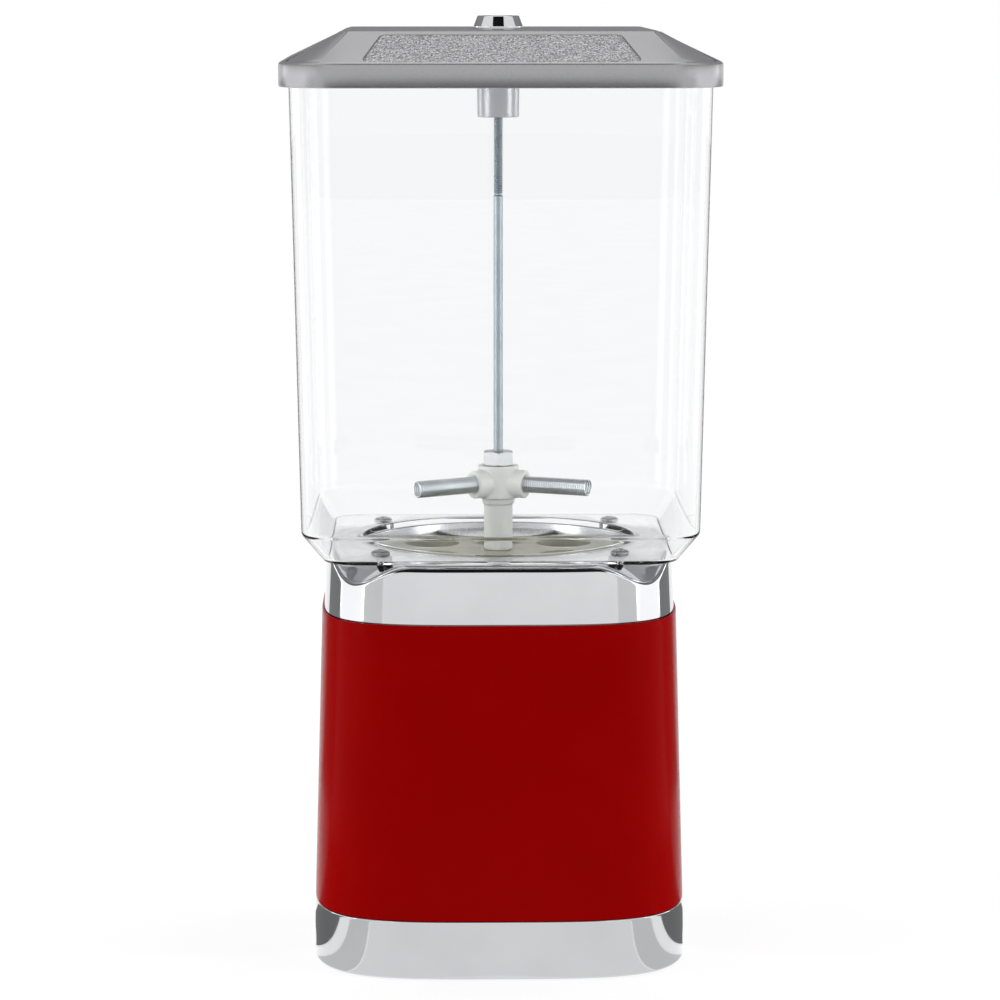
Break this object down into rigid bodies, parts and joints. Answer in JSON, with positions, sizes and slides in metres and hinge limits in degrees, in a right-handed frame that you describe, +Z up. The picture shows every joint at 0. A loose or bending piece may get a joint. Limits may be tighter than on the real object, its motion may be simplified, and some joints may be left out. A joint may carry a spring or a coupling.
{
  "type": "gumball machine",
  "caption": "Countertop bulk vending machine with a square clear hopper, agitator and candy wheel, coin handle, chute with flap, and a lift-off lid with lock.",
  "frame": {"origin": "centre of the machine's footprint, at the level of the rubber feet's undersides", "axes": "+Z up along the centre rod; +Y towards the coin side with handle and chute; the plain side faces -Y; +X to the right as seen from the plain side"},
  "size_m": [0.287, 0.287, 0.63],
  "materials": {
    "red_paint": "high gloss stoved enamel",
    "chrome": "bright chrome plate on die-cast zinc",
    "lid_silver": "satin silver paint on a die casting, grained in the side recesses",
    "clear_plastic": "clear moulded polycarbonate",
    "zinc_steel": "zinc plated",
    "plated_steel": "pressed and plated",
    "screw_steel": "bright screws",
    "dark_steel": "dark screws and clips",
    "spring_steel": "close-coiled bright wire",
    "cast_grey": "satin casting",
    "white_plastic": "satin moulded plastic",
    "cream_plastic": "satin moulded plastic",
    "gear_plastic": "moulded acetal",
    "grey_plastic": "grained tray",
    "rubber_black": "matte",
    "brass": "turned"
  },
  "bodies": {
    "cabinet": {"base_plate": "plated_steel", "base_trim": "chrome", "rubber_feet": "rubber_black", "body_shell": "red_paint", "top_collar": "chrome", "wheel_housing": "cast_grey", "globe": "clear_plastic", "housing_screws": "dark_steel", "pocket_shield": "plated_steel", "centre_rod": "zinc_steel", "rod_nut": "zinc_steel", "rod_washer": "zinc_steel", "hub_nut": "zinc_steel", "coin_tray": "grey_plastic", "chute": "plated_steel", "faceplate": "chrome", "faceplate_screws": "screw_steel", "coin_housing": "chrome", "coin_bezel": "chrome", "bezel_screws": "screw_steel", "gear_bracket": "plated_steel", "bracket_screws": "dark_steel", "idler_pin": "zinc_steel", "door_pin": "zinc_steel"},
    "lid": {"lid": "lid_silver", "lock_bezel": "chrome"},
    "lock": {"lock_plug": "chrome", "lock_nut": "brass"},
    "wheel": {"candy_wheel": "cream_plastic", "face_gear": "gear_plastic", "agitator_hub": "white_plastic", "agitator_spring_1": "spring_steel", "agitator_spring_2": "spring_steel", "agitator_spring_3": "spring_steel"},
    "handle": {"coin_handle": "chrome", "handle_shaft": "zinc_steel", "coin_carrier": "plated_steel", "drive_pinion": "gear_plastic", "shaft_clip": "dark_steel"},
    "idler": {"idler_gear": "gear_plastic"},
    "door": {"chute_door": "chrome"}
  },
  "joints": [
    {"name": "lid_lift", "type": "slide", "parent": "cabinet", "child": "lid", "axis": [0, 0, 1], "range_m": [0, 0.12]},
    {"name": "lock_turn", "type": "hinge", "parent": "lid", "child": "lock", "pos_m": [0, 0, 0.6], "axis": [0, 0, 1], "continuous": true},
    {"name": "wheel_spin", "type": "hinge", "parent": "cabinet", "child": "wheel", "pos_m": [0, 0, 0.26], "axis": [0, 0, 1], "continuous": true},
    {"name": "handle_turn", "type": "hinge", "parent": "cabinet", "child": "handle", "pos_m": [0, 0.12, 0.2068], "axis": [0, 1, 0], "continuous": true},
    {"name": "idler_spin", "type": "hinge", "parent": "cabinet", "child": "idler", "pos_m": [0, 0.0835, 0.23447], "axis": [0, 1, 0], "continuous": true},
    {"name": "door_swing", "type": "hinge", "parent": "cabinet", "child": "door", "pos_m": [0, 0.1245, 0.11], "axis": [1, 0, 0], "range_deg": [0, 70]}
  ],
  "couplings": [
    {"joint": "wheel_spin", "follows": "handle_turn", "ratio": 0.16667},
    {"joint": "idler_spin", "follows": "handle_turn", "ratio": -1}
  ]
}
